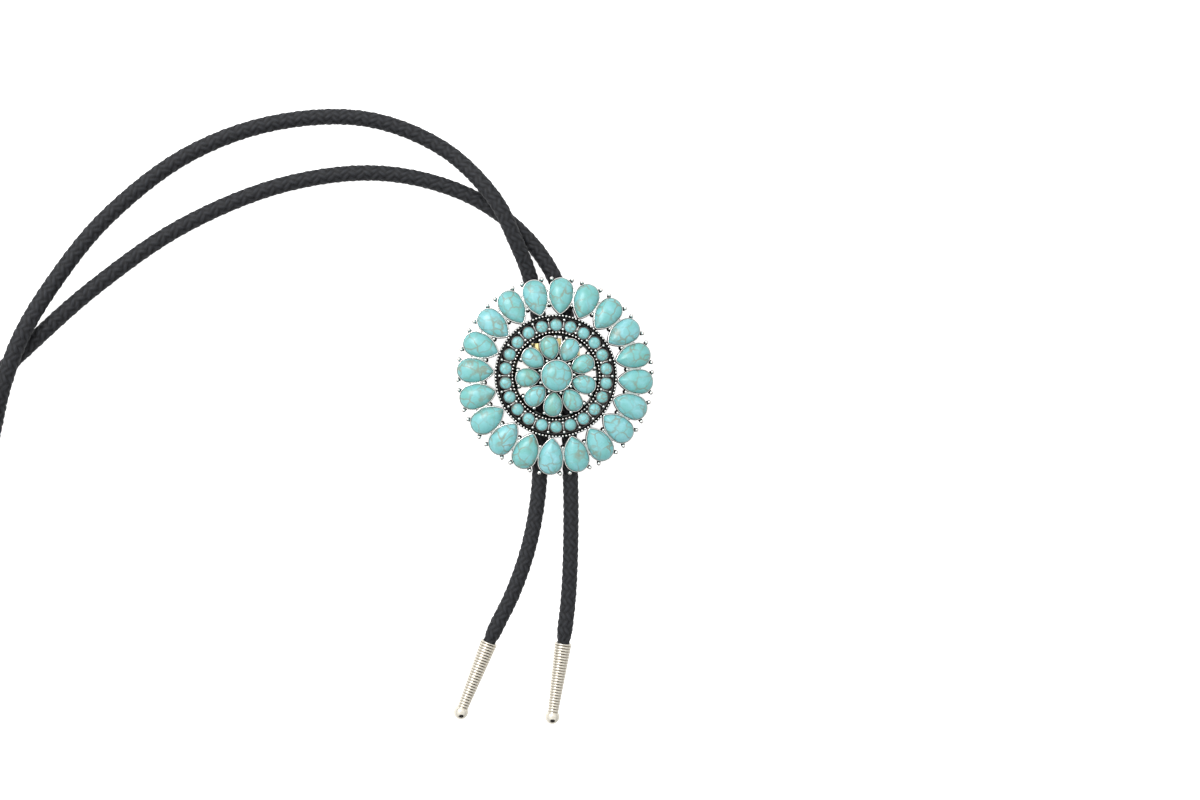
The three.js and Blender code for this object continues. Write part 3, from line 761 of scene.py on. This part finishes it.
petalBar = {
    "inner": 25.2,
    "outer": 30.3,
    "width": 0.5,
    "top": 1.95,
    "halfHeight": 0.3,
    "footWidth": 1.15,
    "footHeight": 0.75,
    "footHalfHeight": 0.55,
    "beadRadius": 0.6,
    "beadHeight": 1.35,
    "collarHeight": 0.7,
    "collarShift": 0.1,  # nearer to the ring than the bead on it
    "collarSize": (0.95, 0.95, 0.6),
}


# A cup from its underside: up the wall, over a flat bright rim, down inside and across the floor.
def bezelRows(outerGrow, innerGrow, wall, floor, shine=1.0):
    return [
        (0, 0, 0, 0.0), (1, outerGrow, 0, 0.05), (1, outerGrow, wall * 0.6, 0.1),
        (1, outerGrow - 0.02, wall - 0.1, 0.4 * shine), (1, outerGrow - 0.08, wall, 0.95 * shine),
        (1, innerGrow + 0.05, wall, shine), (1, innerGrow, wall - 0.06, 0.7 * shine),
        (1, innerGrow, floor, 0.05), (0, 0, floor, 0.0)]


# A flat piece of the frame's back with eased edges.
def backRows(inset):
    top = concho["backThickness"]
    return [(0, 0, 0, 0), (inset, 0, 0, 0), (1, 0, 0.15, 0.1), (1, 0, top - 0.15, 0.1), (inset, 0, top, 0),
            (0, 0, top, 0)]


outerPear = pearOutline(petal["width"], petal["length"])


def petalCupShape():
    middle = move(0, petal["centre"] - petal["hinge"], 0)
    rows = bezelRows(petalCup["outerGrow"], petalCup["innerGrow"], petalCup["wallHeight"], petalCup["floor"])
    parts = [(middle, stackRows(outerPear, rows))]
    edge = petal["width"] / 2
    for turn in (-petalCup["prongTurn"], petalCup["prongTurn"]):
        spoke = middle @ clockTurn(turn)
        post = spoke @ move(0, edge + petalCup["postReach"], petalCup["postHeight"])
        parts.append((post @ stretch(*petalCup["postSize"]), ball(1.0, 10, 7, 0)))
        bright = spoke @ move(0, edge + petalCup["ballReach"], petalCup["ballHeight"])
        parts.append((bright, ball(petalCup["ballRadius"])))
    return gather(parts)


def petalBarShape():
    inner = petalBar["inner"] - petal["hinge"]
    middle = (petalBar["inner"] + petalBar["outer"]) / 2 - petal["hinge"]
    half = (petalBar["outer"] - petalBar["inner"]) / 2
    foot = move(0, middle, petalBar["footHeight"]) @ stretch(
        petalBar["footWidth"] / 2, half, petalBar["footHalfHeight"])
    rod = move(0, middle, petalBar["top"] - petalBar["halfHeight"]) @ stretch(
        petalBar["width"] / 2, half, petalBar["halfHeight"])
    bead = move(0, inner, petalBar["beadHeight"])
    collar = move(0, inner - petalBar["collarShift"], petalBar["collarHeight"])
    collar = collar @ stretch(*petalBar["collarSize"])
    square = squareOutline(24, 5)
    dark = stackRows(square, [
        (0, 0, -1, 0), (0.92, 0, -1, 0), (1, 0, -0.5, 0), (1, 0, 0.5, 0), (0.92, 0, 1, 0), (0, 0, 1, 0)])
    bright = stackRows(square, [
        (0, 0, -1, 0), (0.8, 0, -1, 0), (1, 0, -0.2, 0.3), (0.9, 0, 0.5, 0.8), (0.6, 0, 0.9, 1),
        (0, 0, 1, 1)])
    return gather([(foot, dark), (rod, bright), (bead, ball(petalBar["beadRadius"])),
                   (collar, ball(1.0, 14, 6, 0))])


def finishMetal(piece, *nodes):
    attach(piece, "root")
    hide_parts(*nodes)


def latheRing(name, profile, segments=180):
    rows = [(radius, z, polish) for radius, z, polish in [*profile, profile[0]]]
    piece = meshPiece(name, turnedRows(rows, segments), silver)
    closeSeams(piece.data)
    return piece


# The milgrain is a little coarser than the real 0.86 mm spacing, which would blur into a plain line.
ring = {
    "milgrainOuter": (21.3, 112, 0.45, 1.3),  # radius, beads, bead radius, height above the frame's back
    "milgrainInner": (15.37, 80, 0.44, 1.28),
    "profile": (  # radius, height above the frame's back, polish
        (14.2, 0, 0), (21.55, 0, 0), (21.62, 0.8, 0), (21.5, 1.15, 0), (20.95, 1.15, 0), (20.85, 1.08, 0),
        (20.7, 1.08, 0), (20.6, 1.3, 0.2), (20.3, 1.35, 0.32), (20.15, 1.12, 0.1), (15.95, 1.1, 0.08),
        (15.9, 1.2, 0.25), (15.78, 1.2, 0.2), (15.7, 1.12, 0), (14.98, 1.12, 0), (14.92, 0.92, 0.22),
        (14.3, 0.9, 0.55), (14.2, 0.75, 0.4)),
    "count": 22,
    "centre": 17.9,  # middle of the stones, from the middle of the concho
    "stoneRadius": 2.0,
    "stoneHeight": 0.8,  # above the frame's back, as are the next two
    "bezelHeight": 0.85,
    "dividerHeight": 1.05,
    "bezel": (0.3, 0.02, 0.75, 0.1, 0.55),  # outer and inner grow, wall, floor, shine
    "girdle": 0.5,
    "dome": 1.1,
    "dividerPlace": (0, 0.3, 0.28),
    "dividerSize": (0.2, 1.35, 0.3),
    "dividerBall": 0.54,
    "dividerBallPlaces": ((0, 2.0, 0.35), (0, -1.3, 0.35)),
}


def makeRing():
    base = concho["frameBase"]
    profile = [(radius, base + z, polish) for radius, z, polish in ring["profile"]]
    pieces = [latheRing("silver_ring", profile)]
    for label in ("milgrainOuter", "milgrainInner"):
        radius, count, size, height = ring[label]
        name = label.replace("milgrain", "milgrain_")
        pieces.append(repeatRound(name, ball(size, 10, 7), silver, count, radius, base + height))
    count, centre = ring["count"], ring["centre"]
    bezel = stackRows(roundOutline(ring["stoneRadius"], 24), bezelRows(*ring["bezel"]))
    pieces.append(repeatRound("ring_bezels", bezel, silver, count, centre, base + ring["bezelHeight"]))
    bar = stackRows(squareOutline(16, 4), [
        (0, 0, -1, 0.2), (0.9, 0, -1, 0.2), (1, 0, 0, 0.5), (0.7, 0, 1, 0.75), (0, 0, 1, 0.75)])
    parts = [(move(*ring["dividerPlace"]) @ stretch(*ring["dividerSize"]), bar)]
    parts += [(move(*place), ball(ring["dividerBall"])) for place in ring["dividerBallPlaces"]]
    divider = gather(parts)
    height = base + ring["dividerHeight"]
    pieces.append(repeatRound("ring_dividers", divider, silver, count, centre, height, 180 / count))
    return pieces


def makeBack():
    base, half = concho["frameBase"], concho["armLength"] / 2
    hub = stackRows(roundOutline(concho["hubRadius"], 40), backRows(0.97))
    piece = meshPiece("silver_hub", gather([(move(0, 0, base), hub)]), silver)
    block = stackRows(squareOutline(24, 6), backRows(0.95))
    arm = gather([(stretch(concho["armWidth"] / 2, half, 1), block)])
    arms = repeatRound("silver_arms", arm, silver, concho["arms"], half, base, concho["armStart"])
    return [piece, arms]


def makePetals():
    count, hinge, base = petal["count"], petal["hinge"], concho["frameBase"]
    between = petal["phase"] + 180 / count
    return [
        repeatRound("petal_cups", petalCupShape(), silver, count, hinge, base, petal["phase"], petal["tilt"]),
        repeatRound("petal_bars", petalBarShape(), silver, count, hinge, base, between, petal["tilt"]),
    ]


framePieces = [*makePetals(), *makeRing(), *makeBack()]
for piece in framePieces:
    finishMetal(piece, "concho_frame")
print("stage 6: concho frame,", sum(len(p.data.polygons) for p in framePieces), "faces")

flower = {
    "count": 9,
    "phase": -13.5,  # where the first petal points
    "width": 6.0,  # of a petal's stone
    "length": 8.2,
    "centre": 11.1,  # middle of that stone's round end, from the middle of the concho
    "girdle": 0.8,
    "dome": 2.1,
    "apex": (0, -0.7),
    "bezel": (0.42, 0.1, 1.3, 0.5),  # outer and inner grow, wall, floor
    "sideBallTurn": 50,
    "sideBallPlace": (0, 3.6, 1.45),
    "sideBallRadius": 0.66,
    "collarPlace": (0, 3.5, 0.75),
    "collarSize": (1.12, 1.12, 0.6),
    "centreRadius": 5.25,  # of the stone
    "centreRise": 0.6,
    "centreGirdle": 0.9,
    "centreDome": 2.9,
    "centreBezel": (0.42, 0.08, 2.8, 1.1),
    "plateRadius": 10.2,  # 0.6 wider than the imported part's, dark behind the petals
    "plateThickness": 0.4,
    "beadRing": 6.15,
    "beadHeight": 2.55,
    "beadRadius": 0.58,
    "beadPostHeight": 1.3,
    "beadPostSize": (0.45, 0.45, 1.1),
}
innerPear = pearOutline(flower["width"], flower["length"])


def makeFlower():
    count, base, foot = flower["count"], concho["flowerBase"], move(0, 0, concho["flowerBase"])
    centre = stackRows(roundOutline(flower["centreRadius"], 64), bezelRows(*flower["centreBezel"]))
    pieces = [meshPiece("centre_cup", gather([(foot, centre)]), silver)]
    top = flower["plateThickness"]
    plate = stackRows(roundOutline(flower["plateRadius"], 72), [
        (0, 0, 0, 0), (1, 0, 0, 0), (1, 0, top - 0.08, 0), (1, -0.08, top, 0), (0, 0, top, 0)])
    pieces.append(meshPiece("flower_plate", gather([(foot, plate)]), silver))
    parts = [(move(0, 0, 0), stackRows(innerPear, bezelRows(*flower["bezel"])))]
    for turn in (-flower["sideBallTurn"], flower["sideBallTurn"]):
        spoke = clockTurn(turn)
        parts.append((spoke @ move(*flower["sideBallPlace"]), ball(flower["sideBallRadius"])))
        collar = spoke @ move(*flower["collarPlace"]) @ stretch(*flower["collarSize"])
        parts.append((collar, ball(1.0, 12, 6, 0)))
    cup = gather(parts)
    pieces.append(repeatRound("flower_cups", cup, silver, count, flower["centre"], base, flower["phase"]))
    bead = gather([
        (move(0, 0, flower["beadHeight"]), ball(flower["beadRadius"])),
        (move(0, 0, flower["beadPostHeight"]) @ stretch(*flower["beadPostSize"]), ball(1.0, 10, 7, 0)),
    ])
    between = flower["phase"] + 180 / count
    pieces.append(repeatRound("flower_beads", bead, silver, count, flower["beadRing"], base, between))
    return pieces


flowerPieces = makeFlower()
for piece in flowerPieces:
    finishMetal(piece, "flower_setting")
print("stage 7: flower setting")


# The rows of a cabochon: flat underside, upright girdle and a dome.
def domeRows(girdle, dome, tone, base=concho["stoneBase"], levels=9):
    rows = [(0, 0, base, tone), (0.97, 0, base, tone), (1, 0, base + 0.1, tone), (1, 0, base + girdle, tone)]
    for t in np.linspace(0, math.pi / 2, levels)[1:-1]:
        rows.append((math.cos(t) ** 0.95, 0, base + girdle + dome * math.sin(t), tone))
    return [*rows, (0, 0, base + girdle + dome, tone)]


def placeStone(name, node, shape, place, material):
    piece = meshPiece(name, gather([(place, shape)]), material)
    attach(piece, "root")
    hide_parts(node)


def makeStones():
    foot = concho["stoneBase"] + flower["centreRise"]
    rows = domeRows(flower["centreGirdle"], flower["centreDome"], random.random(), foot, 11)
    centre = stackRows(roundOutline(flower["centreRadius"], 56), rows)
    placeStone("centre_cabochon", "centre_stone", centre, move(0, 0, concho["flowerBase"]), outerTurquoise)
    for i in range(flower["count"]):
        rows = domeRows(flower["girdle"], flower["dome"], random.random())
        shape = stackRows(innerPear, rows, apex=flower["apex"])
        turn = clockTurn(flower["phase"] + 360 * i / flower["count"])
        place = turn @ move(0, flower["centre"], concho["flowerBase"])
        placeStone(f"inner_cabochon_{i + 1}", f"inner_stone_{i + 1}", shape, place, innerTurquoise)
    tilt = Matrix.Rotation(math.radians(petal["tilt"]), 4, "X")
    tipped = move(0, petal["hinge"], concho["frameBase"]) @ tilt
    reach = move(0, petal["centre"] - petal["hinge"], 0)
    for i in range(petal["count"]):
        rows = domeRows(petal["girdle"], petal["dome"], random.random())
        shape = stackRows(outerPear, rows, apex=petal["apex"])
        place = clockTurn(petal["phase"] + 360 * i / petal["count"]) @ tipped @ reach
        placeStone(f"outer_cabochon_{i + 1:02d}", f"outer_stone_{i + 1:02d}", shape, place, outerTurquoise)
    rows = domeRows(ring["girdle"], ring["dome"], 0.5, 0.0, 7)
    small = stackRows(roundOutline(ring["stoneRadius"], 28), rows)
    height = concho["frameBase"] + ring["stoneHeight"]
    ringStones = repeatRound("ring_cabochons", small, ringTurquoise, ring["count"], ring["centre"], height)
    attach(ringStones, "root")


makeStones()
print("stage 8: stones")

studio = {
    "floorReach": 15,  # metres, as are all of the studio's sizes
    "floorSides": 64,
    "floorGlow": 0.9,
    "skyStops": ((0, 0.95), (0.47, 0.9), (0.5, 0.5), (0.62, 0.72), (0.85, 0.95), (1, 1)),
    "skyTurn": (-0.7, 0.7, 0),  # the brighter side
    "skyLean": 0.25,
    "lensCard": ((-0.046, -0.014, 0.57), (-0.046, -0.014, 0), 0.06),  # place, aim, radius
    "frontCard": ((-0.02, -0.7, 0.3), (-0.02, -0.11, 0), 0.42),
    "sideCard": ((0.2, -0.16, 0.55), (0, -0.1, 0), 0.05),
    "keyPlace": (-0.35, 0.35, 0.6),
    "keySize": 0.35,
    "keyPower": 2.7,
}


# A white table with a round white wall far out, so that every view ends in white.
def makeFloor():
    material, _, shader = newMaterial("white light table")
    shader.inputs["Base Color"].default_value = (0.9, 0.9, 0.9, 1)
    shader.inputs["Roughness"].default_value = 0.9
    shader.inputs["Emission Color"].default_value = (1, 1, 1, 1)
    shader.inputs["Emission Strength"].default_value = studio["floorGlow"]
    reach, sides = studio["floorReach"], studio["floorSides"]
    rim = [(x, y, 0) for x, y in roundOutline(reach, sides)(0)]
    top = [(x, y, reach) for x, y, _ in rim]
    wall = [[i, (i + 1) % sides, (i + 1) % sides + sides, i + sides] for i in range(sides)]
    mesh = bpy.data.meshes.new("floor")
    mesh.from_pydata([*rim, *top], [], [list(range(sides)), *wall])
    mesh.materials.append(material)
    floor = bpy.data.objects.new("floor", mesh)
    # the tie is lit by the sky and the key alone, and its metal mirrors them and the cards
    floor.visible_glossy = floor.visible_diffuse = floor.visible_shadow = False
    bpy.context.collection.objects.link(floor)


# Bright overhead and below, dimmer at the horizon, and brighter towards the upper left.
def makeWorld():
    world = bpy.data.worlds.new("white studio")
    bpy.context.scene.world = world
    world.use_nodes = True
    tree = world.node_tree
    direction = addNode(tree, "ShaderNodeTexCoord").outputs["Generated"]
    upward = addNode(tree, "ShaderNodeSeparateXYZ", inputs={0: direction}).outputs[2]
    height = addNode(tree, "ShaderNodeMapRange", inputs={0: upward, 1: -1.0, 2: 1.0}).outputs[0]
    sky = addNode(tree, "ShaderNodeValToRGB", inputs={0: height},
                  stops=[(place, (value, value, value, 1)) for place, value in studio["skyStops"]])
    side = addNode(tree, "ShaderNodeVectorMath", {"operation": "DOT_PRODUCT"},
                   {0: direction, 1: studio["skyTurn"]}).outputs["Value"]
    lean = addNode(tree, "ShaderNodeMath", {"operation": "MULTIPLY_ADD"},
                   {0: side, 1: studio["skyLean"], 2: 1.0})
    background = tree.nodes["Background"]
    tree.links.new(sky.outputs[0], background.inputs["Color"])
    tree.links.new(lean.outputs[0], background.inputs["Strength"])


# A round black card that only reflections see, such as the dark lens overhead and the dark room in front.
def darkCard(name, place, aim, radius):
    material, _, shader = newMaterial("black card")
    shader.inputs["Base Color"].default_value = (0.002, 0.002, 0.002, 1)
    shader.inputs["Roughness"].default_value = 1.0
    shader.inputs["Specular IOR Level"].default_value = 0.0
    turn = (Vector(aim) - Vector(place)).to_track_quat("Z", "Y").to_matrix()
    rim = [turn @ Vector((radius * x, radius * y, 0)) + Vector(place) for x, y in roundOutline(1.0, 48)(0)]
    mesh = bpy.data.meshes.new(name)
    mesh.from_pydata([tuple(p) for p in rim], [], [list(range(len(rim)))])
    mesh.materials.append(material)
    card = bpy.data.objects.new(name, mesh)
    card.visible_camera = card.visible_diffuse = card.visible_shadow = False
    bpy.context.collection.objects.link(card)


def areaLight(name, place, aim, size, power):
    data = bpy.data.lights.new(name, "AREA")
    data.size = size
    data.energy = power
    light = bpy.data.objects.new(name, data)
    light.location = place
    light.rotation_mode = "QUATERNION"
    light.rotation_quaternion = (Vector(aim) - Vector(place)).to_track_quat("-Z", "Y")
    bpy.context.collection.objects.link(light)


makeFloor()
makeWorld()
darkCard("lens_card", *studio["lensCard"])
darkCard("front_card", *studio["frontCard"])
darkCard("side_card", *studio["sideCard"])
areaLight("key from the upper left", studio["keyPlace"], (0, 0, 0), studio["keySize"], studio["keyPower"])
print("stage 9: studio")
